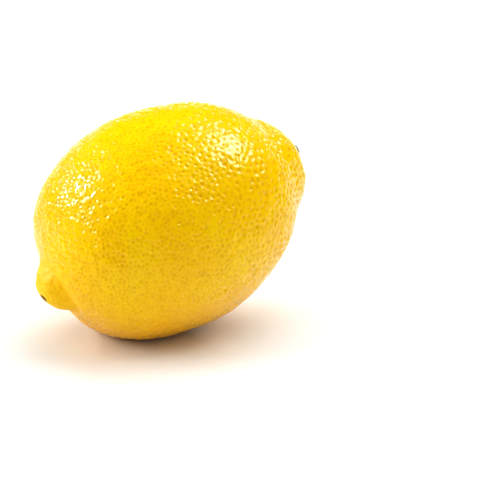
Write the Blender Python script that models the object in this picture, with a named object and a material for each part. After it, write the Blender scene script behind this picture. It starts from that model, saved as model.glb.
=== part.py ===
"""A whole lemon lying on its side, with the calyx button still on its stem end.

Metres, +Z up. The fruit's long axis runs along +X towards the stem end, which is
tilted up, and the origin is the middle of the small flat spot that it rests on.
"""
import math

import bmesh
import bpy
import numpy as np
from mathutils import Vector

# Body, measured from the widest section along the fruit's own axis
BODY_RADIUS = 0.0300
STEM_HALF = 0.0389
STYLE_HALF = 0.0377

# Rest pose: the stem end is tilted up, and the skin is pressed flat underneath
TILT = math.radians(17.25)
FLAT_DEPTH = 0.0008

# Nipple at the style end, a little below the axis, inside a wide shallow furrow. On the
# -Y side the body's shoulder fills the furrow, and the crease round the foot is deeper
NIPPLE_REACH = 0.0028
NIPPLE_RADIUS = 0.0070
NIPPLE_DROP = 0.0030
NIPPLE_SIDE = -0.0007
NIPPLE_POWER = 3.6
FURROW_DEPTH = 0.0024
FURROW_RADIUS = 0.0115
FURROW_WIDTH = 0.0074
FURROW_DROP = 0.0009
FURROW_GAP = 0.9
CREASE_DEPTH = 0.0009
CREASE_LEAN = 0.9
CREASE_RADIUS = 0.0078
CREASE_WIDTH = 0.0014

# Neck at the stem end, with soft ribs and a cup that holds the calyx button
NECK_REACH = 0.0035
NECK_RADIUS = 0.0139
NECK_POWER = 8.0
NECK_RIBS = 5
RIB_SHARE = 0.05
CUP_DEPTH = 0.0013
CUP_RADIUS = 0.0056

# Low uneven lumps over the whole skin
LUMP_HEIGHT = 0.00028
LUMP_WAVES = 14
LUMP_PITCH = 5.0
LUMP_SEED = 11

# Pits of the peel, pressed in between raised skin, and closer together at both ends
PIT_SPACING = 0.00250
PIT_DEPTH = 0.00030
END_CLOSENESS = 0.50
END_RADIUS = 0.0080
PIT_TRIES = 20000
PIT_SEED = 4

# Calyx button: a five-lobed disc with the cut stub of the stem on it
BUTTON_RADIUS = 0.0043
BUTTON_LOBES = 5
LOBE_SHARE = 0.10
BUTTON_GAP = 0.00045
BUTTON_SIDES = 40
# Share of the radius and height above the cup's floor, from the stub's middle outwards
BUTTON_TOP = (
    (0.16, 0.00205),
    (0.34, 0.00235),
    (0.41, 0.00200),
    (0.46, 0.00125),
    (0.62, 0.00135),
    (0.84, 0.00140),
    (0.96, 0.00115),
)
BUTTON_UNDER = (0.92, 0.66, 0.33)
BUTTON_RIM_HEIGHT = 0.00085


def lumps(directions):
    """Sum of a few broad waves over the sphere of directions."""
    random = np.random.default_rng(LUMP_SEED)
    waves = random.normal(scale=LUMP_PITCH, size=(LUMP_WAVES, 3))
    phases = random.uniform(0.0, math.tau, LUMP_WAVES)
    total = np.cos(directions @ waves.T + phases).sum(axis=1)
    return LUMP_HEIGHT * total / math.sqrt(LUMP_WAVES)


def ring(distance, radius, width):
    """A smooth ridge of height 1 at a radius from an axis."""
    return np.exp(-(((distance - radius) / width) ** 2))


def stem_end(y, z):
    """How far the neck stands out past the body, less the cup at its top."""
    distance = np.hypot(y, z)
    ribs = 1.0 + RIB_SHARE * np.cos(NECK_RIBS * np.arctan2(z, y))
    neck = np.exp(-((distance / (NECK_RADIUS * ribs)) ** NECK_POWER))
    cup = np.exp(-((distance / CUP_RADIUS) ** 4))
    return NECK_REACH * neck - CUP_DEPTH * cup


def style_end(y, z):
    """How far the nipple stands out past the body, less the furrow round it."""
    aside = y + NIPPLE_SIDE
    distance = np.hypot(aside, z + NIPPLE_DROP)
    nipple = np.exp(-((distance / NIPPLE_RADIUS) ** NIPPLE_POWER))
    lean = 1.0 - CREASE_LEAN * aside / np.maximum(distance, CREASE_WIDTH)
    crease = lean * ring(distance, CREASE_RADIUS, CREASE_WIDTH)
    out = np.hypot(y, z + FURROW_DROP)
    facing = np.clip(-y / np.maximum(out, CREASE_WIDTH), 0.0, 1.0)
    furrow = (1.0 - FURROW_GAP * facing**2) * ring(out, FURROW_RADIUS, FURROW_WIDTH)
    return NIPPLE_REACH * nipple - CREASE_DEPTH * crease - FURROW_DEPTH * furrow


def skin(directions):
    """The fruit's surface in each direction, with the fruit's axis along X."""
    dx, dy, dz = directions.T
    swell = 1.0 + lumps(directions) / BODY_RADIUS
    y = BODY_RADIUS * dy * swell
    z = BODY_RADIUS * dz * swell
    stem = STEM_HALF * dx * swell + stem_end(y, z)
    style = STYLE_HALF * dx * swell - style_end(y, z)
    return np.column_stack([np.where(dx > 0, stem, style), y, z])


def lowest_point():
    """The body's lowest point in the tilted pose, seen from the body's middle."""
    sine, cosine = math.sin(TILT), math.cos(TILT)
    drop = math.hypot(STYLE_HALF * sine, BODY_RADIUS * cosine)
    along = -(STYLE_HALF**2 - BODY_RADIUS**2) * sine * cosine / drop
    return along, drop


def tilted(points):
    """Points of the fruit turned to the rest pose, with the origin under it."""
    along, drop = lowest_point()
    sine, cosine = math.sin(TILT), math.cos(TILT)
    x, y, z = points.T
    return np.column_stack(
        [x * cosine - z * sine - along, y, x * sine + z * cosine + drop - FLAT_DEPTH]
    )


def material(name, colour, roughness):
    surface = bpy.data.materials.new(name)
    surface.use_nodes = True
    shader = surface.node_tree.nodes["Principled BSDF"]
    shader.inputs["Base Color"].default_value = (*colour, 1.0)
    shader.inputs["Roughness"].default_value = roughness
    shader.inputs["Metallic"].default_value = 0.0
    return surface


def add_object(name, mesh_data, surface):
    mesh = bpy.data.meshes.new(name)
    mesh_data.to_mesh(mesh)
    mesh_data.free()
    mesh.shade_smooth()
    mesh.materials.append(surface)
    part = bpy.data.objects.new(name, mesh)
    bpy.context.scene.collection.objects.link(part)
    return part


def pit_directions():
    """Directions of pits that keep their spacing from each other on the skin."""
    random = np.random.default_rng(PIT_SEED)
    tries = random.normal(size=(PIT_TRIES, 3))
    tries[: PIT_TRIES // 4, 1:] *= END_RADIUS / BODY_RADIUS
    tries /= np.linalg.norm(tries, axis=1, keepdims=True)
    places = skin(tries)
    end = np.exp(-((np.hypot(places[:, 1], places[:, 2]) / END_RADIUS) ** 4))
    spacing = PIT_SPACING * (1.0 - END_CLOSENESS * end)
    kept = [0]
    for index, place in enumerate(places):
        gaps = np.linalg.norm(places[kept] - place, axis=1)
        if gaps.min() > spacing[index]:
            kept.append(index)
    return tries[kept]


def fruit_mesh():
    """Pits joined in triangles, with raised skin at the middle of each triangle."""
    pits = pit_directions()
    web = bmesh.new()
    for direction in pits:
        web.verts.new(direction)
    bmesh.ops.convex_hull(web, input=list(web.verts))
    web.verts.index_update()
    web.faces.index_update()
    pits = np.array([corner.co for corner in web.verts])

    crests = np.array([face.calc_center_median() for face in web.faces])
    crests /= np.linalg.norm(crests, axis=1, keepdims=True)
    places = skin(np.vstack([pits, crests]))

    fruit = bmesh.new()
    corners = [fruit.verts.new(place) for place in places]
    for edge in web.edges:
        start, end = (corners[vert.index] for vert in edge.verts)
        left, right = (corners[len(pits) + face.index] for face in edge.link_faces)
        fruit.faces.new((start, left, right))
        fruit.faces.new((end, right, left))
    web.free()
    bmesh.ops.recalc_face_normals(fruit, faces=list(fruit.faces))
    fruit.normal_update()
    for pit in corners[: len(pits)]:
        pit.co -= pit.normal * PIT_DEPTH

    placed = tilted(np.array([corner.co for corner in corners]))
    for corner, place in zip(corners, placed):
        corner.co = (place[0], place[1], max(place[2], 0.0))
    return fruit


def cup_height(distance):
    """The fruit's surface in the cup, measured from the middle of its floor."""
    bulge = STEM_HALF * (math.sqrt(1.0 - (distance / BODY_RADIUS) ** 2) - 1.0)
    return bulge + float(stem_end(distance, 0.0) - stem_end(0.0, 0.0))


def button_ring(mesh_data, share, height):
    """One lobed ring of the button; height is a number or a function of radius."""
    corners = []
    for side in range(BUTTON_SIDES):
        angle = math.tau * side / BUTTON_SIDES
        lobe = 1.0 + LOBE_SHARE * share**2 * math.cos(BUTTON_LOBES * angle)
        radius = BUTTON_RADIUS * share * lobe
        level = height(radius) if callable(height) else height
        corners.append(mesh_data.verts.new((radius * math.cos(angle), radius * math.sin(angle), level)))
    return corners


def button_mesh():
    """A lobed disc whose underside follows the cup, with the stem's stub on top."""
    button = bmesh.new()
    rings = [button_ring(button, share, height) for share, height in BUTTON_TOP]
    rings.append(button_ring(button, 1.0, BUTTON_RIM_HEIGHT))
    for share in BUTTON_UNDER:
        rings.append(button_ring(button, share, lambda radius: cup_height(radius) + BUTTON_GAP))
    top = button.verts.new((0.0, 0.0, BUTTON_TOP[0][1] - 0.0001))
    under = button.verts.new((0.0, 0.0, BUTTON_GAP))
    for inner, outer in zip(rings, rings[1:]):
        for side in range(BUTTON_SIDES):
            after = (side + 1) % BUTTON_SIDES
            button.faces.new((inner[side], outer[side], outer[after], inner[after]))
    for side in range(BUTTON_SIDES):
        after = (side + 1) % BUTTON_SIDES
        button.faces.new((top, rings[0][side], rings[0][after]))
        button.faces.new((under, rings[-1][after], rings[-1][side]))
    bmesh.ops.triangulate(button, faces=list(button.faces))
    bmesh.ops.recalc_face_normals(button, faces=list(button.faces))
    return button


def cup_floor():
    """The middle of the cup's floor in the rest pose."""
    axis = np.array([[1.0, 0.0, 0.0]])
    return Vector(tilted(skin(axis))[0])


def main():
    for old in list(bpy.data.objects):
        bpy.data.objects.remove(old)
    peel = material("peel", (0.90, 0.62, 0.01), 0.38)
    calyx = material("calyx", (0.42, 0.36, 0.20), 0.75)
    add_object("fruit", fruit_mesh(), peel)
    button = add_object("stem_button", button_mesh(), calyx)
    button.location = cup_floor()
    button.rotation_euler = (0.0, math.radians(90.0) - TILT, 0.0)


main()
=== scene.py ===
# %% [markdown]
# A lemon is one smooth body with two different ends and a skin full of oil glands. This script
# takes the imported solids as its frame, lays a finely pitted peel over the fruit's own formula,
# models the dry calyx button, and lights both on a white table like a fruit in a studio.
# The first cell loads the frame. It fixes where everything is, so it comes before any looks.

import math
from collections import namedtuple

import bmesh
import bpy
import numpy as np
from mathutils import Matrix, Vector


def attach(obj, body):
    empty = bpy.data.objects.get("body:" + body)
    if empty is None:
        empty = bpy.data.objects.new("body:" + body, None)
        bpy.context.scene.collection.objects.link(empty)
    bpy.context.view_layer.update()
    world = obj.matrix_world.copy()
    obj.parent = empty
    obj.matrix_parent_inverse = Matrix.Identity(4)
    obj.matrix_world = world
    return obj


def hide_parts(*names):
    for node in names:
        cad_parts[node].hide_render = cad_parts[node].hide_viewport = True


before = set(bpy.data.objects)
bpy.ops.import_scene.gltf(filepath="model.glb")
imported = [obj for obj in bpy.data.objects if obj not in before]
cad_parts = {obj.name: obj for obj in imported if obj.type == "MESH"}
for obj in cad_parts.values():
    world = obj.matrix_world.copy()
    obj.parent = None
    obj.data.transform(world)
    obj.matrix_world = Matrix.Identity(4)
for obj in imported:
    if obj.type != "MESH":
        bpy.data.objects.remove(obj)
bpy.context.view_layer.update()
print("nodes in the frame:", sorted(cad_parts))

# %% [markdown]
# The camera comes next, because it decides how much detail is worth making. It stands low and
# 31 degrees round to the style end's side. A long lens keeps the fruit's shape free of
# perspective swelling. The fruit sits left of the middle of the picture, so the camera
# aims at a point beside it, worked out from the fruit's own place in the picture.

# %% Camera
PICTURE = 480
FRUIT_COLUMN = 147.1
FRUIT_ROW = 222.9
METRES_PER_PIXEL = 0.000267
CAMERA_DISTANCE = 0.70
CAMERA_AZIMUTH = math.radians(-31.0)
CAMERA_ELEVATION = math.radians(17.0)
FRUIT_MIDDLE = Vector((0.0, 0.0, 0.030))


def direction_from(azimuth, elevation):
    """Unit vector from the fruit towards a light or camera; azimuth 0 is the -Y side."""
    flat = math.cos(elevation)
    return Vector((math.sin(azimuth) * flat, -math.cos(azimuth) * flat, math.sin(elevation)))


def aim(thing, target):
    """Turns a camera or light, whose own -Z looks forward, towards a target."""
    thing.rotation_euler = (target - thing.location).to_track_quat("-Z", "Y").to_euler()


def make_camera():
    outward = direction_from(CAMERA_AZIMUTH, CAMERA_ELEVATION)
    right = Vector((math.cos(CAMERA_AZIMUTH), math.sin(CAMERA_AZIMUTH), 0.0))
    up = outward.cross(right)
    across = (PICTURE / 2 - FRUIT_COLUMN) * METRES_PER_PIXEL
    below = (PICTURE / 2 - FRUIT_ROW) * METRES_PER_PIXEL
    data = bpy.data.cameras.new("camera")
    data.sensor_fit = "HORIZONTAL"
    data.angle = 2.0 * math.atan(PICTURE / 2 * METRES_PER_PIXEL / CAMERA_DISTANCE)
    camera = bpy.data.objects.new("camera", data)
    bpy.context.scene.collection.objects.link(camera)
    camera.location = FRUIT_MIDDLE + outward * CAMERA_DISTANCE
    aim(camera, FRUIT_MIDDLE + right * across - up * below)
    bpy.context.scene.camera = camera
    return camera


camera = make_camera()
print("camera at", [round(value, 3) for value in camera.location])

# %% [markdown]
# Node trees are wired in the script, both for geometry and for materials. To add a Math node
# by hand for every sum would hide what is being worked out. So a small class wraps an output
# socket, sums and products are written as plain Python, and each sign adds its Math node.

# %% Wires
class Wire:
    """An output socket that can be added, subtracted, multiplied, divided and raised."""

    def __init__(self, plan, socket):
        self.plan = plan
        self.socket = socket

    def __add__(self, other):
        return self.plan.maths("ADD", self, other)

    def __sub__(self, other):
        return self.plan.maths("SUBTRACT", self, other)

    def __rsub__(self, other):
        return self.plan.maths("SUBTRACT", other, self)

    def __mul__(self, other):
        return self.plan.maths("MULTIPLY", self, other)

    def __truediv__(self, other):
        return self.plan.maths("DIVIDE", self, other)

    def __rtruediv__(self, other):
        return self.plan.maths("DIVIDE", other, self)

    def __pow__(self, other):
        return self.plan.maths("POWER", self, other)

    __radd__ = __add__
    __rmul__ = __mul__


print("wires ready")

# %% [markdown]
# A second class holds the tree. One method adds any node from its type, its settings and the
# values or wires of its sockets, and the short ones below it are for the nodes used most.

# %% Plan
class Plan:
    """A node tree under construction."""

    def __init__(self, tree):
        self.tree = tree

    def node(self, kind, settings=None, **values):
        """Adds a node, sets its settings, then fills its sockets with values or wires."""
        node = self.tree.nodes.new(kind)
        for name, setting in (settings or {}).items():
            setattr(node, name, setting)
        for name, value in values.items():
            self.fill(self.socket(node.inputs, name), value)
        return node

    def socket(self, sockets, name):
        """Finds a shown socket: Distance_Min is named Distance Min, and s1 is number 1."""
        if name[0] == "s" and name[1:].isdigit():
            return sockets[int(name[1:])]
        label = name.replace("_", " ")
        return next(found for found in sockets if found.name == label and found.enabled)

    def fill(self, socket, value):
        if isinstance(value, Wire):
            self.tree.links.new(value.socket, socket)
        else:
            socket.default_value = value

    def out(self, node, name="s0"):
        return Wire(self, self.socket(node.outputs, name))

    def maths(self, operation, *terms):
        sockets = {f"s{index}": term for index, term in enumerate(terms)}
        return self.out(self.node("ShaderNodeMath", {"operation": operation}, **sockets))

    def vector(self, operation, *terms):
        sockets = {f"s{index}": term for index, term in enumerate(terms)}
        node = self.node("ShaderNodeVectorMath", {"operation": operation}, **sockets)
        single = operation in ("DISTANCE", "DOT_PRODUCT")
        return self.out(node, "Value" if single else "Vector")

    def scaled(self, vector, factor):
        """A vector made longer or shorter by a number."""
        settings = {"operation": "SCALE"}
        return self.out(self.node("ShaderNodeVectorMath", settings, Vector=vector, Scale=factor))

    def fade(self, value, start, end):
        """A smooth step from 0 at start to 1 at end."""
        settings = {"interpolation_type": "SMOOTHSTEP"}
        node = self.node("ShaderNodeMapRange", settings, s0=value, s1=start, s2=end)
        return self.out(node)

    def attribute(self, name, data_type):
        """Reads a named attribute in a geometry tree."""
        node = self.node("GeometryNodeInputNamedAttribute", {"data_type": data_type}, Name=name)
        return self.out(node, "Attribute")

    def keep(self, mesh, name, data_type, value, domain="POINT"):
        """Stores a value on each corner or face of a mesh under a name."""
        node = self.node(
            "GeometryNodeStoreNamedAttribute",
            {"data_type": data_type, "domain": domain},
            Geometry=mesh,
            Name=name,
            Value=value,
        )
        return self.out(node)

    def tint(self, share, under, over):
        """Mixes two colours by a share."""
        node = self.node("ShaderNodeMix", {"data_type": "RGBA"}, s0=share, s6=under, s7=over)
        return self.out(node, "s2")


print("plan ready")

# %% [markdown]
# The fruit's body is a formula and not a sculpture, because each feature of a lemon has a
# size that can be named. It begins as an ellipsoid whose stem half is a little longer, and a
# few broad waves keep it from looking turned on a lathe. The values are those of the solid, so
# that the peel lies exactly where the solid is.

# %% Body
BODY_RADIUS = 0.0300
STEM_HALF = 0.0389
STYLE_HALF = 0.0377
LUMP_HEIGHT = 0.00028
LUMP_WAVES = 14
LUMP_PITCH = 5.0
LUMP_SEED = 11


def lumps(directions):
    """Sum of a few broad waves over the sphere of directions."""
    random = np.random.default_rng(LUMP_SEED)
    waves = random.normal(scale=LUMP_PITCH, size=(LUMP_WAVES, 3))
    phases = random.uniform(0.0, math.tau, LUMP_WAVES)
    total = np.cos(directions @ waves.T + phases).sum(axis=1)
    return LUMP_HEIGHT * total / math.sqrt(LUMP_WAVES)


print("body", round(STEM_HALF + STYLE_HALF, 4), "m long and", 2 * BODY_RADIUS, "m across")

# %% [markdown]
# At the stem end a lemon narrows to a neck with soft ribs, and its top dips to a cup where the
# stem grew. Both are bell shapes round the fruit's axis. A high power makes the neck nearly
# flat on top and steep at its side, and a wave round the axis gives it the ribs.

# %% Stem end
NECK_REACH = 0.0035
NECK_RADIUS = 0.0139
NECK_POWER = 8.0
NECK_RIBS = 5
RIB_SHARE = 0.05
CUP_DEPTH = 0.0013
CUP_RADIUS = 0.0056
CUP_POWER = 4


def stem_end(y, z):
    """How far the neck stands out past the body, less the cup at its top."""
    distance = np.hypot(y, z)
    ribs = 1.0 + RIB_SHARE * np.cos(NECK_RIBS * np.arctan2(z, y))
    neck = np.exp(-((distance / (NECK_RADIUS * ribs)) ** NECK_POWER))
    cup = np.exp(-((distance / CUP_RADIUS) ** CUP_POWER))
    return NECK_REACH * neck - CUP_DEPTH * cup


print("neck", 2 * NECK_RADIUS, "m across with", NECK_RIBS, "ribs")

# %% [markdown]
# At the style end stands the nipple, a little off the axis as on most lemons. A broad furrow
# runs round it and nearly closes at one side, where a narrow crease at the nipple's foot is
# deepest. Each of them is a smooth bump or ridge round an axis of its own, so each can be
# moved alone until the outline is right.

# %% Style end
NIPPLE_REACH = 0.0028
NIPPLE_RADIUS = 0.0070
NIPPLE_DROP = 0.0030
NIPPLE_SIDE = -0.0007
NIPPLE_POWER = 3.6
FURROW_DEPTH = 0.0024
FURROW_RADIUS = 0.0115
FURROW_WIDTH = 0.0074
FURROW_DROP = 0.0009
FURROW_GAP = 0.9
CREASE_DEPTH = 0.0009
CREASE_LEAN = 0.9
CREASE_RADIUS = 0.0078
CREASE_WIDTH = 0.0014


def ring(distance, radius, width):
    """A smooth ridge of height 1 at a radius from an axis."""
    return np.exp(-(((distance - radius) / width) ** 2))


def style_end(y, z):
    """How far the nipple stands out past the body, less the furrow round it."""
    aside = y + NIPPLE_SIDE
    distance = np.hypot(aside, z + NIPPLE_DROP)
    nipple = np.exp(-((distance / NIPPLE_RADIUS) ** NIPPLE_POWER))
    lean = 1.0 - CREASE_LEAN * aside / np.maximum(distance, CREASE_WIDTH)
    crease = lean * ring(distance, CREASE_RADIUS, CREASE_WIDTH)
    out = np.hypot(y, z + FURROW_DROP)
    facing = np.clip(-y / np.maximum(out, CREASE_WIDTH), 0.0, 1.0)
    furrow = (1.0 - FURROW_GAP * facing**2) * ring(out, FURROW_RADIUS, FURROW_WIDTH)
    return NIPPLE_REACH * nipple - CREASE_DEPTH * crease - FURROW_DEPTH * furrow


print("nipple", 2 * NIPPLE_RADIUS, "m across in a furrow", 2 * FURROW_RADIUS, "m across")

# %% [markdown]
# The fruit lies on its side with the stem end tilted up. Its points are turned to that pose
# one by one and not by the object's rotation, because a finished piece has its place in its
# mesh.
# The origin is on the table, and the fruit's underside starts a little below it: what is
# below will be pressed flat, which makes the spot that the lemon rests on.

# %% Rest pose
TILT = math.radians(17.25)
FLAT_DEPTH = 0.0008


def skin(directions):
    """The fruit's surface in each direction, with the fruit's axis along X."""
    dx, dy, dz = directions.T
    swell = 1.0 + lumps(directions) / BODY_RADIUS
    y = BODY_RADIUS * dy * swell
    z = BODY_RADIUS * dz * swell
    stem = STEM_HALF * dx * swell + stem_end(y, z)
    style = STYLE_HALF * dx * swell - style_end(y, z)
    return np.column_stack([np.where(dx > 0, stem, style), y, z])


def tilted(points):
    """Points of the fruit turned to the rest pose, with the origin under it."""
    sine, cosine = math.sin(TILT), math.cos(TILT)
    drop = math.hypot(STYLE_HALF * sine, BODY_RADIUS * cosine)
    along = -(STYLE_HALF**2 - BODY_RADIUS**2) * sine * cosine / drop
    x, y, z = points.T
    height = x * sine + z * cosine + drop - FLAT_DEPTH
    return np.column_stack([x * cosine - z * sine - along, y, height])


def on_fruit(directions):
    """The fruit's surface as it lies on the table."""
    return tilted(skin(np.atleast_2d(np.array(directions, dtype=float))))


STEM_TIP = Vector(on_fruit((1.0, 0.0, 0.0))[0])
STYLE_TIP = Vector(on_fruit((-1.0, NIPPLE_SIDE / BODY_RADIUS, -NIPPLE_DROP / BODY_RADIUS))[0])
FRUIT_AXIS = Vector((math.cos(TILT), 0.0, math.sin(TILT)))
print("fruit from", [round(v, 4) for v in STYLE_TIP], "to", [round(v, 4) for v in STEM_TIP])

# %% [markdown]
# The peel starts as a ball of even triangles. Each corner keeps its direction from the ball's
# middle, its place on the fruit and the way the skin faces there, as attributes. With these the
# pits can be worked out on the ball, where triangles are simple, and be put on the fruit after.

# %% Smooth skin
SKIN_STEPS = 7


def smooth_skin():
    """The fruit without pits, with its directions, places and normals as attributes."""
    ball = bmesh.new()
    bmesh.ops.create_icosphere(ball, subdivisions=SKIN_STEPS, radius=1.0)
    mesh = bpy.data.meshes.new("smooth_skin")
    ball.to_mesh(mesh)
    ball.free()
    directions = np.empty(len(mesh.vertices) * 3)
    mesh.vertices.foreach_get("co", directions)
    directions = directions.reshape(-1, 3)
    places = on_fruit(directions)
    mesh.vertices.foreach_set("co", places.ravel())
    mesh.update()
    normals = np.empty(len(mesh.vertices) * 3)
    mesh.vertex_normals.foreach_get("vector", normals)
    for name, values in (("direction", directions), ("place", places), ("outward", normals)):
        attribute = mesh.attributes.new(name, "FLOAT_VECTOR", "POINT")
        attribute.data.foreach_set("vector", values.ravel().astype(np.float32))
    skin_object = bpy.data.objects.new("smooth_skin", mesh)
    bpy.context.scene.collection.objects.link(skin_object)
    return skin_object


base = smooth_skin()
print("smooth skin of", len(base.data.vertices), "corners")

# %% [markdown]
# Both materials start alike, so three helpers come first. Patterns are read in the object's
# own coordinates, which are metres here, so a noise is asked for by the size of its patches.
# Relief that is too fine for the mesh goes through a Bump node, which only tilts the shading.

# %% Material helpers
def shader_plan(name):
    """A new material with its plan, its Principled shader and object coordinates."""
    surface = bpy.data.materials.new(name)
    surface.use_nodes = True
    plan = Plan(surface.node_tree)
    shader = surface.node_tree.nodes["Principled BSDF"]
    place = plan.out(plan.node("ShaderNodeTexCoord"), "Object")
    return surface, plan, shader, place


def noise(plan, place, size, detail=2.0):
    """Noise from 0 to 1 whose patches are about size metres across."""
    node = plan.node("ShaderNodeTexNoise", Vector=place, Scale=1.0 / size, Detail=detail)
    return plan.out(node)


def painted(plan, name):
    """Reads an attribute of the mesh in a material."""
    return plan.out(plan.node("ShaderNodeAttribute", {"attribute_name": name}), "Fac")


def bumped(plan, relief, height, strength):
    """A Bump node for a relief from 0 to 1 that stands height metres tall."""
    return plan.node("ShaderNodeBump", Strength=strength, Distance=height, Height=relief)


print("material helpers ready")

# %% [markdown]
# The peel is one strong yellow in paler and deeper patches. It turns orange in every pit, where
# the skin is thin over an oil gland, and a little greener round both ends. Low on the fruit a
# deeper orange is painted in as painted shade, darker towards the table.
# A dead brown scar marks where the style dropped off. A painted image would need a seam, so
# each tint has a mask that is worked out from the place on the fruit or from the pits instead.

# %% Peel colours
PEEL_YELLOW = (0.97, 0.565, 0.001, 1.0)
PEEL_PALE = (0.98, 0.605, 0.001, 1.0)
PEEL_DEEP = (0.96, 0.535, 0.001, 1.0)
# Painted shade: a deeper orange for the fruit's underside
UNDERSIDE_PAINTED_SHADE = (0.90, 0.41, 0.001, 1.0)
PIT_ORANGE = (0.82, 0.36, 0.001, 1.0)
END_GREEN = (0.92, 0.66, 0.002, 1.0)
SCAR_BROWN = (0.13, 0.055, 0.012, 1.0)
PATCH_SIZE = 0.012
MOTTLE_SIZE = 0.0011
SPECKLE_SIZE = 0.0014
SCAR_RADIUS = 0.0016
SCAR_CORE = 0.6
SCAR_RAGGED = 0.0016
# Where a mask starts and where it is full: in noise from 0 to 1, then in metres
PALE_FADE = (0.40, 0.70)
DEEP_FADE = (0.55, 0.25)
MOTTLE_FADE = (0.50, 0.70)
# Painted shade on the underside: none 24 mm above the table, full 2 mm above it
UNDERSIDE_SHADE_FADE = (0.024, 0.002)
STYLE_GREEN_FADE = (0.006, 0.002)
STEM_GREEN_FADE = (0.013, 0.004)
# How strong a tint is where its mask is full
DEEP_SHARE = 0.6
# How strong the painted shade on the underside is
UNDERSIDE_SHADE_SHARE = 0.6
STYLE_GREEN_SHARE = 0.25
STEM_GREEN_SHARE = 0.45
MOTTLE_SHARE = 0.25
MOTTLE_LOST = 0.2
PIT_SHARE = 0.25
PIT_SPECKLE = 0.7
PIT_POWER = 1.8
PIT_LOST = 0.8


def end_greens(plan, place, from_style):
    """Mask of the greener skin round both ends."""
    from_stem = plan.vector("DISTANCE", place, tuple(STEM_TIP))
    at_style = plan.fade(from_style, *STYLE_GREEN_FADE) * STYLE_GREEN_SHARE
    return at_style + plan.fade(from_stem, *STEM_GREEN_FADE) * STEM_GREEN_SHARE


def peel_colour(plan, place, pit, from_style, dull):
    """The peel's colour and the mask of its scar; dull is 1 on the nipple."""
    patches = noise(plan, place, PATCH_SIZE)
    colour = plan.tint(plan.fade(patches, *PALE_FADE), PEEL_YELLOW, PEEL_PALE)
    colour = plan.tint(plan.fade(patches, *DEEP_FADE) * DEEP_SHARE, colour, PEEL_DEEP)
    height = plan.vector("DOT_PRODUCT", place, (0.0, 0.0, 1.0))
    # Painted shade: the skin turns deeper orange towards the table
    colour = plan.tint(plan.fade(height, *UNDERSIDE_SHADE_FADE) * UNDERSIDE_SHADE_SHARE, colour, UNDERSIDE_PAINTED_SHADE)
    mottle = plan.fade(noise(plan, place, MOTTLE_SIZE), *MOTTLE_FADE)
    colour = plan.tint(mottle * (MOTTLE_SHARE - MOTTLE_LOST * dull), colour, PIT_ORANGE)
    speckle = noise(plan, place, SPECKLE_SIZE)
    in_pits = pit**PIT_POWER * (PIT_SHARE + PIT_SPECKLE * speckle) * (1.0 - PIT_LOST * dull)
    colour = plan.tint(in_pits, colour, PIT_ORANGE)
    colour = plan.tint(end_greens(plan, place, from_style), colour, END_GREEN)
    ragged = from_style + (speckle - 0.5) * SCAR_RAGGED
    scar = plan.fade(ragged, SCAR_RADIUS, SCAR_RADIUS * SCAR_CORE)
    return plan.tint(scar, colour, SCAR_BROWN), scar


print("peel scar", 2 * SCAR_RADIUS, "m across")

# %% [markdown]
# Wax gives the skin its gloss, and ripples of 0.2 mm with a fine grain over them break it up.
# The nipple has little wax, so gloss and ripples fade there. Light that enters the flesh of
# the peel comes out beside the pits, so some of the shading is subsurface. A coat would be
# another way to the wax, but one sharp gloss shows the pits' walls more clearly.

# %% Peel finish
NIPPLE_FADE = (0.014, 0.008)
WAX_ROUGHNESS = 0.06
PIT_ROUGHER = 0.06
NIPPLE_ROUGHER = 0.50
SCAR_ROUGHER = 0.30
RIPPLE_SIZE = 0.0012
RIPPLE_HEIGHT = 0.00020
RIPPLE_LOST = 0.7
GRAIN_SIZE = 0.00035
GRAIN_HEIGHT = 0.00005
GRAIN_STRENGTH = 0.25
PEEL_CONSTANTS = {
    "Specular IOR Level": 0.2,
    "Specular Tint": (1.0, 0.9, 0.5, 1.0),
    "Subsurface Weight": 0.12,
    "Subsurface Radius": (1.0, 0.45, 0.05),
    "Subsurface Scale": 0.0025,
}


def peel_finish():
    surface, plan, shader, place = shader_plan("peel")
    pit = painted(plan, "pit")
    from_style = plan.vector("DISTANCE", place, tuple(STYLE_TIP))
    dull = plan.fade(from_style, *NIPPLE_FADE)
    colour, scar = peel_colour(plan, place, pit, from_style, dull)
    rougher = WAX_ROUGHNESS + PIT_ROUGHER * pit + NIPPLE_ROUGHER * dull
    plan.fill(shader.inputs["Base Color"], colour)
    plan.fill(shader.inputs["Roughness"], rougher + SCAR_ROUGHER * scar)
    ripples = noise(plan, place, RIPPLE_SIZE, detail=0.0) * (1.0 - RIPPLE_LOST * dull)
    ripple = bumped(plan, ripples, RIPPLE_HEIGHT, 1.0)
    grain = bumped(plan, noise(plan, place, GRAIN_SIZE), GRAIN_HEIGHT, GRAIN_STRENGTH)
    plan.fill(grain.inputs["Normal"], plan.out(ripple, "Normal"))
    plan.fill(shader.inputs["Normal"], plan.out(grain, "Normal"))
    for name, value in PEEL_CONSTANTS.items():
        shader.inputs[name].default_value = value
    return surface


peel_surface = peel_finish()
print("peel finish with", len(peel_surface.node_tree.nodes), "nodes")

# %% [markdown]
# A Geometry Nodes tree shows its inputs by name, so that its sizes can be changed without
# opening it, but the modifier that runs it knows them by identifiers alone. One helper makes a
# tree with named inputs. The other runs it on a host object and keeps the result as a plain
# mesh, because a mesh is what can be exported and measured.

# %% Tree helpers
def tree_with_inputs(name, inputs):
    """A geometry tree with a geometry socket each way and named inputs."""
    tree = bpy.data.node_groups.new(name, "GeometryNodeTree")
    tree.interface.new_socket("Geometry", in_out="INPUT", socket_type="NodeSocketGeometry")
    for label, kind in inputs.items():
        tree.interface.new_socket(label, in_out="INPUT", socket_type=kind)
    tree.interface.new_socket("Geometry", in_out="OUTPUT", socket_type="NodeSocketGeometry")
    return tree


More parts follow.
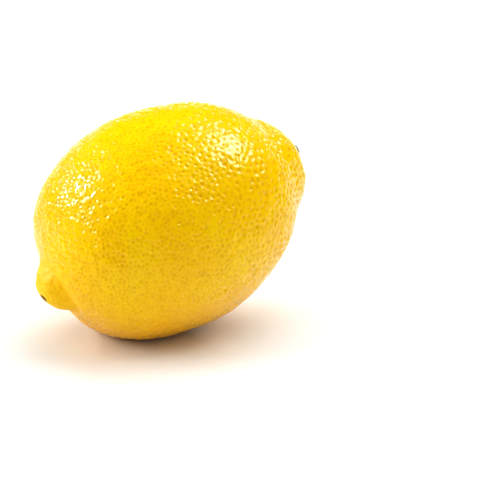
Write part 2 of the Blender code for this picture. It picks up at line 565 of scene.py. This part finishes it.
def grown(host, tree, values, name):
    """Runs a tree on a host object and returns the result as a plain object of its own."""
    modifier = host.modifiers.new("growth", "NODES")
    modifier.node_group = tree
    for socket in tree.interface.items_tree:
        if socket.in_out == "INPUT" and socket.name in values:
            modifier[socket.identifier] = values[socket.name]
    evaluated = host.evaluated_get(bpy.context.evaluated_depsgraph_get())
    mesh = bpy.data.meshes.new_from_object(evaluated)
    mesh.name = name
    host.modifiers.remove(modifier)
    piece = bpy.data.objects.new(name, mesh)
    bpy.context.scene.collection.objects.link(piece)
    return piece


print("tree helpers ready")

# %% [markdown]
# Oil glands keep a distance from each other, as the points of Poisson disk sampling do. So
# points are scattered over the fruit that way, their directions are wrapped in a convex hull,
# and the hull's dual turns every point into a cell, as each gland has its own patch of skin.
# Towards the stem end glands are wider apart. There the skin is shrunk while the points are
# scattered, so fewer fit on it, and they spread out when it is put back.

# %% Gland cells
PIT_SPACING = 0.00101
POINTS_OFFERED = 4.0 / PIT_SPACING**2
STEM_SPARSER = 0.42
STEM_FADE = (-0.004, 0.036)


def near_stem(plan, here):
    """Mask that grows from 0 at the fruit's middle to 1 at the stem end."""
    return plan.fade(plan.vector("DOT_PRODUCT", here, tuple(FRUIT_AXIS)), *STEM_FADE)


def laid_on(plan, mesh, surface, at):
    """Gives each corner of a mesh the place and outward direction of a surface nearest to at."""
    for name in ("place", "outward"):
        found = plan.node(
            "GeometryNodeSampleNearestSurface",
            {"data_type": "FLOAT_VECTOR"},
            Mesh=surface,
            Value=plan.attribute(name, "FLOAT_VECTOR"),
            Sample_Position=at,
        )
        mesh = plan.keep(mesh, name, "FLOAT_VECTOR", plan.out(found))
    place = plan.attribute("place", "FLOAT_VECTOR")
    return plan.out(plan.node("GeometryNodeSetPosition", Geometry=mesh, Position=place))


def gland_cells(plan, smooth, given, here, stemward):
    """One cell of skin round each gland, laid on the fruit."""
    from_middle = plan.vector("SUBTRACT", here, tuple(FRUIT_MIDDLE))
    shrunk = plan.scaled(from_middle, 1.0 - STEM_SPARSER * stemward)
    scatter = plan.node(
        "GeometryNodeDistributePointsOnFaces",
        {"distribute_method": "POISSON"},
        Mesh=plan.out(plan.node("GeometryNodeSetPosition", Geometry=smooth, Position=shrunk)),
        Distance_Min=plan.out(given, "Spacing"),
        Density_Max=POINTS_OFFERED,
        Seed=plan.out(given, "Seed"),
    )
    direction = plan.attribute("direction", "FLOAT_VECTOR")
    heading = plan.vector("NORMALIZE", direction)
    on_ball = plan.node("GeometryNodeSetPosition", Geometry=plan.out(scatter), Position=heading)
    hull = plan.node("GeometryNodeConvexHull", Geometry=plan.out(on_ball))
    cells = plan.out(plan.node("GeometryNodeDualMesh", Mesh=plan.out(hull)))
    ball = plan.out(plan.node("GeometryNodeSetPosition", Geometry=smooth, Position=direction))
    return laid_on(plan, cells, ball, plan.vector("NORMALIZE", here))


print("glands", PIT_SPACING, "m apart or more")

# %% [markdown]
# A pit is smaller than its cell, and a cell has corners at its edge alone. Each cell is inset
# twice, to a ring round the pit's rim and one near its floor, which puts corners just where the
# pit's wall is steep. To subdivide the whole skin until it shows a pit would take many times
# as many triangles.

# %% Pit rings
PIT_RINGS = (0.00044, 0.00020)
WIDEST_RING = 0.9


def ringed(plan, cells, size):
    """Insets every cell to each pit ring's radius, scaled by the cell's own pit size."""
    area = plan.out(plan.node("GeometryNodeInputMeshFaceArea"))
    selection = True
    for radius in PIT_RINGS:
        inset = plan.node(
            "GeometryNodeExtrudeMesh",
            {"mode": "FACES"},
            Mesh=cells,
            Selection=selection,
            Offset_Scale=0.0,
        )
        top = plan.out(inset, "Top")
        share = plan.maths("MINIMUM", radius * size / (area / math.pi) ** 0.5, WIDEST_RING)
        inset_mesh = plan.out(inset, "Mesh")
        scaled = plan.node(
            "GeometryNodeScaleElements", Geometry=inset_mesh, Selection=top, Scale=share
        )
        cells = plan.out(scaled)
        selection = top
    return cells


print("pit rings of", PIT_RINGS, "m")

# %% [markdown]
# Now the skin gets its relief. Every corner sinks by how near the gland in the middle of its
# cell is, on a bell curve, and the skin between the pits swells in low cushions. The depth of
# the bell is kept as an attribute named pit, which the colour and the gloss read. Last, what
# is below the table is lifted to it, which makes the flat spot.

# %% Sunk pits
PIT_RADIUS = 0.00039
PIT_DEPTH = 0.00023
PIT_STEEPNESS = 2.3
CUSHION_HEIGHT = 0.00070
CUSHION_SIZE = 0.0026
CUSHION_DETAIL = 2.0
TABLE_LEVEL = (-1.0, -1.0, 0.0)


def gland_size(plan, glands, size):
    """The size of the gland nearest to each corner."""
    number = plan.out(plan.node("GeometryNodeSampleNearest", Geometry=glands))
    settings = {"data_type": "FLOAT"}
    sampled = plan.node(
        "GeometryNodeSampleIndex", settings, Geometry=glands, Value=size, Index=number
    )
    return plan.out(sampled)


def sunk(plan, mesh, glands, size, given):
    """Presses a pit in at each gland and swells the skin between them."""
    own_size = gland_size(plan, glands, size)
    nearest = plan.node("GeometryNodeProximity", {"target_element": "POINTS"}, s0=glands)
    reach = plan.out(nearest, "Distance") / (plan.out(given, "Pit radius") * own_size)
    mesh = plan.keep(mesh, "pit", "FLOAT", plan.maths("EXPONENT", 0.0 - reach**PIT_STEEPNESS))
    depth = plan.attribute("pit", "FLOAT") * plan.out(given, "Pit depth") * own_size
    mesh = plan.keep(mesh, "depth", "FLOAT", depth)
    fineness = 1.0 / plan.out(given, "Cushion size")
    cushions = plan.node("ShaderNodeTexNoise", Scale=fineness, Detail=CUSHION_DETAIL)
    swell = (plan.out(cushions) - 0.5) * plan.out(given, "Cushion height")
    rise = swell - plan.attribute("depth", "FLOAT")
    shift = plan.scaled(plan.attribute("outward", "FLOAT_VECTOR"), rise)
    return plan.out(plan.node("GeometryNodeSetPosition", Geometry=mesh, Offset=shift))


def rested(plan, mesh, here):
    """Lifts what is below the table to its level."""
    lifted = plan.vector("MAXIMUM", here, TABLE_LEVEL)
    return plan.out(plan.node("GeometryNodeSetPosition", Geometry=mesh, Position=lifted))


print("pits", PIT_DEPTH, "m deep")

# %% [markdown]
# The tree joins these steps: cells, a size of its own for each gland, rings, pits, and the flat
# spot. Glands differ a lot in size on a real peel, and are larger towards the stem end. The
# size is kept on the cells before they are inset, so that all corners of one cell share it.

# %% Pitted peel
SMALL_PIT = 0.50
LARGE_PIT = 1.35
STEM_LARGER = 0.50
PEEL_INPUTS = {
    "Spacing": "NodeSocketFloat",
    "Pit radius": "NodeSocketFloat",
    "Pit depth": "NodeSocketFloat",
    "Cushion height": "NodeSocketFloat",
    "Cushion size": "NodeSocketFloat",
    "Seed": "NodeSocketInt",
    "Finish": "NodeSocketMaterial",
}


def own_sizes(plan, stemward):
    """A random size for each gland, larger towards the stem end."""
    settings = {"data_type": "FLOAT"}
    random = plan.node("FunctionNodeRandomValue", settings, Min=SMALL_PIT, Max=LARGE_PIT)
    return plan.out(random, "Value") * (1.0 + STEM_LARGER * stemward)


def pitted_peel_tree():
    plan = Plan(tree_with_inputs("pitted_peel", PEEL_INPUTS))
    given = plan.node("NodeGroupInput")
    smooth = plan.out(given, "Geometry")
    here = plan.out(plan.node("GeometryNodeInputPosition"))
    stemward = near_stem(plan, here)
    cells = gland_cells(plan, smooth, given, here, stemward)
    cells = plan.keep(cells, "size", "FLOAT", own_sizes(plan, stemward), "FACE")
    size = plan.attribute("size", "FLOAT")
    glands = plan.out(plan.node("GeometryNodeMeshToPoints", {"mode": "FACES"}, Mesh=cells))
    mesh = laid_on(plan, ringed(plan, cells, size), smooth, here)
    mesh = rested(plan, sunk(plan, mesh, glands, size, given), here)
    simple = plan.out(plan.node("GeometryNodeTriangulate", Mesh=mesh))
    rounded = plan.out(plan.node("GeometryNodeSetShadeSmooth", Geometry=simple))
    real = plan.out(plan.node("GeometryNodeRealizeInstances", Geometry=rounded))
    finish = plan.out(given, "Finish")
    finished = plan.node("GeometryNodeSetMaterial", Geometry=real, Material=finish)
    result = plan.node("NodeGroupOutput")
    plan.fill(result.inputs["Geometry"], plan.out(finished))
    return plan.tree


peel_tree = pitted_peel_tree()
print("pitted peel tree of", len(peel_tree.nodes), "nodes")

# %% [markdown]
# The tree runs once, on the smooth skin, and gives the peel as one closed mesh. The attributes
# that only served to build it are removed. The frame's solid of the fruit is then hidden, and
# the peel is made to ride on the fruit's one body.

# %% Peel
PIT_SEED = 3
peel_values = {
    "Spacing": PIT_SPACING,
    "Pit radius": PIT_RADIUS,
    "Pit depth": PIT_DEPTH,
    "Cushion height": CUSHION_HEIGHT,
    "Cushion size": CUSHION_SIZE,
    "Seed": PIT_SEED,
    "Finish": peel_surface,
}
peel = grown(base, peel_tree, peel_values, "peel")
bpy.data.objects.remove(base)
for name in ("place", "outward", "size", "depth"):
    peel.data.attributes.remove(peel.data.attributes[name])
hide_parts("fruit")
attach(peel, "root")
print("peel of", len(peel.data.polygons), "triangles")

# %% [markdown]
# The button is what is left of the flower's calyx, dead tissue that dries to a dull tan with
# green left in places. Dark lines of a fine noise stand for its fibres, in colour and bump
# alike. The cut end of the stem is paler wood, and an attribute on the mesh says where it is.

# %% Calyx finish
CALYX_TAN = (0.56, 0.45, 0.26, 1.0)
CALYX_GREEN = (0.38, 0.36, 0.15, 1.0)
CALYX_DARK = (0.09, 0.06, 0.025, 1.0)
WOOD_PALE = (0.62, 0.50, 0.30, 1.0)
BLOTCH_SIZE = 0.0016
BLOTCH_DETAIL = 4.0
BLOTCH_FADE = (0.40, 0.62)
DRY_FIBRE_SIZE = 0.0003
DRY_FIBRE_DETAIL = 3.0
DRY_FIBRE_FADE = (0.62, 0.40)
DRY_FIBRE_SHARE = 0.55
DRY_FIBRE_HEIGHT = 0.00012
DRY_FIBRE_STRENGTH = 0.6
WOOD_SHARE = 0.45
WOOD_FIBRE = 0.55
DRY_ROUGHNESS = 0.62
DRY_ROUGHER = 0.25


def calyx_finish():
    surface, plan, shader, place = shader_plan("calyx")
    cut = painted(plan, "cut")
    blotches = noise(plan, place, BLOTCH_SIZE, detail=BLOTCH_DETAIL)
    fibres = noise(plan, place, DRY_FIBRE_SIZE, detail=DRY_FIBRE_DETAIL)
    colour = plan.tint(plan.fade(blotches, *BLOTCH_FADE), CALYX_TAN, CALYX_GREEN)
    darker = plan.fade(fibres, *DRY_FIBRE_FADE) * DRY_FIBRE_SHARE
    colour = plan.tint(darker, colour, CALYX_DARK)
    colour = plan.tint(cut * (WOOD_SHARE + WOOD_FIBRE * fibres), colour, WOOD_PALE)
    plan.fill(shader.inputs["Base Color"], colour)
    plan.fill(shader.inputs["Roughness"], DRY_ROUGHNESS + DRY_ROUGHER * fibres)
    grain = bumped(plan, fibres, DRY_FIBRE_HEIGHT, DRY_FIBRE_STRENGTH)
    plan.fill(shader.inputs["Normal"], plan.out(grain, "Normal"))
    return surface


calyx_surface = calyx_finish()
print("calyx finish with", len(calyx_surface.node_tree.nodes), "nodes")

# %% [markdown]
# Seen from the side, the button is a low dome in the cup of the neck with the cut stub of the
# stem on it. That outline is a short list of heights. The underside has no list: it follows
# the cup's own formula, a hair above the peel, so the button can't cut into the fruit.

# %% Button outline
BUTTON_RADIUS = 0.0043
BUTTON_GAP = 0.0003
RING_STEP = 0.00012
UNDER_STEPS = 3
OVER_SHARES = (0.02, 1.0)
UNDER_SHARES = (0.94, 0.04)
# Share of the radius and height above the cup's floor, from the stub's middle outwards
BUTTON_TOP = (
    (0.00, 0.00385),
    (0.14, 0.00400),
    (0.28, 0.00415),
    (0.35, 0.00408),
    (0.39, 0.00355),
    (0.45, 0.00280),
    (0.62, 0.00265),
    (0.80, 0.00235),
    (0.92, 0.00185),
    (0.98, 0.00130),
    (1.00, 0.00090),
)


def cup_height(radius):
    """The fruit's surface in the cup, measured from the middle of its floor."""
    bulge = STEM_HALF * (math.sqrt(1.0 - (radius / BODY_RADIUS) ** 2) - 1.0)
    return bulge + float(stem_end(radius, 0.0) - stem_end(0.0, 0.0))


def button_profile():
    """Shares and heights from the stub's middle over the rim and back below."""
    shares, heights = zip(*BUTTON_TOP)
    over = np.linspace(*OVER_SHARES, int(BUTTON_RADIUS / RING_STEP))
    under = np.linspace(*UNDER_SHARES, int(BUTTON_RADIUS / RING_STEP / UNDER_STEPS))
    top = [(share, float(np.interp(share, shares, heights)), True) for share in over]
    return top + [(share, 0.0, False) for share in under]


print("button outline of", len(button_profile()), "rings")

# %% [markdown]
# Seen from above, the button has five soft lobes whose tips curl up a little, an edge that is
# frayed by drying, and fine fibres that run out from the stub. A shape turned on the outline
# can't have those, so the place of every corner is worked out by itself.

# %% Button corners
BUTTON_SIDES = 150
BUTTON_LOBES = 5
LOBE_SHARE = 0.10
LOBE_CURL = 0.00025
FRAY_SHARE = 0.02
FRAY_SEED = 8
FIBRE_COUNT = 60
FIBRE_DEPTH = 0.00005
FIBRE_SWAY = 5.0
FIBRE_BENDS = 3.0
FIBRE_RISE = 3.0
STUB_SHARE = 0.33


def frayed_edge():
    """A small random share of the radius for each side, smoothed over its neighbours."""
    random = np.random.default_rng(FRAY_SEED)
    fray = random.normal(scale=FRAY_SHARE, size=BUTTON_SIDES)
    return (fray + np.roll(fray, 1) + np.roll(fray, 2)) / 2.0


def button_corner(share, height, is_top, angle, fray):
    """Place of one corner, on the outline above or on the cup's formula below."""
    lobes = math.cos(BUTTON_LOBES * angle)
    radius = BUTTON_RADIUS * share * (1.0 + share**2 * (LOBE_SHARE * lobes + fray))
    level = cup_height(radius) + BUTTON_GAP
    if is_top:
        sway = FIBRE_SWAY * math.sin(FIBRE_BENDS * angle)
        fibre = FIBRE_DEPTH * math.cos(FIBRE_COUNT * angle + sway)
        level = height + fibre * min(1.0, FIBRE_RISE * share) + LOBE_CURL * share**4 * lobes
    return radius * math.cos(angle), radius * math.sin(angle), level


def button_rings(button):
    """Every ring's corners, each marked where it is part of the stub's cut end."""
    cut = button.verts.layers.float.new("cut")
    frays = frayed_edge()
    rings = []
    for share, height, is_top in button_profile():
        corners = []
        for side in range(BUTTON_SIDES):
            angle = math.tau * side / BUTTON_SIDES
            place = button_corner(share, height, is_top, angle, frays[side])
            corner = button.verts.new(place)
            corner[cut] = float(is_top and share < STUB_SHARE)
            corners.append(corner)
        rings.append(corners)
    return rings


print("button of", BUTTON_LOBES, "lobes with", BUTTON_SIDES, "corners to a ring")

# %% [markdown]
# The rings are joined by faces and closed at both ends, and the faces are turned to point
# outwards. The button is made upright at the origin, where its sizes are easy to think about,
# and then turned to the fruit's axis and set in the cup, all in its mesh.

# %% Calyx button
def button_piece():
    button = bmesh.new()
    rings = button_rings(button)
    for inner, outer in zip(rings, rings[1:]):
        for side in range(BUTTON_SIDES):
            after = (side + 1) % BUTTON_SIDES
            button.faces.new((inner[side], outer[side], outer[after], inner[after]))
    button.faces.new(list(reversed(rings[-1])))
    button.faces.new(rings[0])
    bmesh.ops.triangulate(button, faces=[face for face in button.faces if len(face.verts) > 4])
    bmesh.ops.recalc_face_normals(button, faces=list(button.faces))
    mesh = bpy.data.meshes.new("calyx_button")
    button.to_mesh(mesh)
    button.free()
    mesh.transform(Vector((0.0, 0.0, 1.0)).rotation_difference(FRUIT_AXIS).to_matrix().to_4x4())
    mesh.transform(Matrix.Translation(STEM_TIP))
    mesh.shade_smooth()
    mesh.materials.append(calyx_surface)
    piece = bpy.data.objects.new("calyx_button", mesh)
    bpy.context.scene.collection.objects.link(piece)
    return piece


button = button_piece()
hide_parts("stem_button")
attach(button, "root")
print("button of", len(button.data.polygons), "faces")

# %% [markdown]
# The table is a wide white sheet with nothing on it. It is bright enough to turn pure white
# in the picture, so only the fruit's shadow shows where it lies.

# %% Table
TABLE_HALF = 4.0
TABLE_WHITE = (0.90, 0.90, 0.90, 1.0)
TABLE_ROUGHNESS = 0.35
TABLE_SPECULAR = 0.5


def make_table():
    plane = bmesh.new()
    bmesh.ops.create_grid(plane, x_segments=1, y_segments=1, size=TABLE_HALF)
    mesh = bpy.data.meshes.new("table")
    plane.to_mesh(mesh)
    plane.free()
    surface = bpy.data.materials.new("table")
    surface.use_nodes = True
    shader = surface.node_tree.nodes["Principled BSDF"]
    shader.inputs["Base Color"].default_value = TABLE_WHITE
    shader.inputs["Roughness"].default_value = TABLE_ROUGHNESS
    shader.inputs["Specular IOR Level"].default_value = TABLE_SPECULAR
    mesh.materials.append(surface)
    table = bpy.data.objects.new("table", mesh)
    bpy.context.scene.collection.objects.link(table)
    return table


table = make_table()
print(table.name, 2 * TABLE_HALF, "m wide")

# %% [markdown]
# The light is that of a product studio. Four broad sheets and a white room give the fruit its
# shading and whiten the table, and are kept out of reflections. The reflections have boxes of
# their own, which light nothing else: a small one at the left and a larger one with a bright
# core at the right make the broken glints in the wax, and a long low one behind makes the pale
# rim. To part shading from glints like this leaves each free to be set on its own.

# %% Light
# Azimuth and elevation in degrees, distance, width and height in metres, power in watts
Box = namedtuple("Box", "azimuth elevation distance width height power")
SHEETS = {
    "left_sheet": Box(-126.0, 30.0, 1.6, 1.0, 1.0, 17.0),
    "front_sheet": Box(-60.0, 60.0, 1.6, 1.4, 1.4, 5.5),
    "right_sheet": Box(92.0, 58.0, 1.6, 1.8, 1.8, 27.5),
    "back_sheet": Box(150.0, 60.0, 1.6, 1.4, 1.4, 10.0),
}
GLINT_BOXES = {
    "left_box": Box(-130.0, 34.0, 0.8, 0.15, 0.20, 14.0),
    "right_box": Box(82.0, 50.0, 0.8, 0.48, 0.34, 9.5),
    "right_core": Box(82.0, 50.0, 0.78, 0.14, 0.14, 1.5),
    "backdrop": Box(149.0, 4.0, 2.0, 3.0, 0.5, 8.0),
}
ROOM_WHITE = (1.0, 1.0, 1.0, 1.0)
ROOM_STRENGTH = 0.34


def make_box(name, box):
    """A rectangular light that faces the fruit."""
    data = bpy.data.lights.new(name, "AREA")
    data.shape = "RECTANGLE"
    data.size = box.width
    data.size_y = box.height
    data.energy = box.power
    light = bpy.data.objects.new(name, data)
    bpy.context.scene.collection.objects.link(light)
    heading = direction_from(math.radians(box.azimuth), math.radians(box.elevation))
    light.location = FRUIT_MIDDLE + heading * box.distance
    aim(light, FRUIT_MIDDLE)
    return light


def make_room():
    """A white room that lights the fruit but isn't mirrored in its wax."""
    world = bpy.data.worlds.new("room")
    world.use_nodes = True
    bpy.context.scene.world = world
    world.cycles_visibility.glossy = False
    background = world.node_tree.nodes["Background"]
    background.inputs["Color"].default_value = ROOM_WHITE
    background.inputs["Strength"].default_value = ROOM_STRENGTH


make_room()
for name, box in SHEETS.items():
    make_box(name, box).visible_glossy = False
for name, box in GLINT_BOXES.items():
    make_box(name, box).visible_diffuse = False
bpy.context.scene.view_settings.view_transform = "Standard"
print("lights:", ", ".join([*SHEETS, *GLINT_BOXES]))
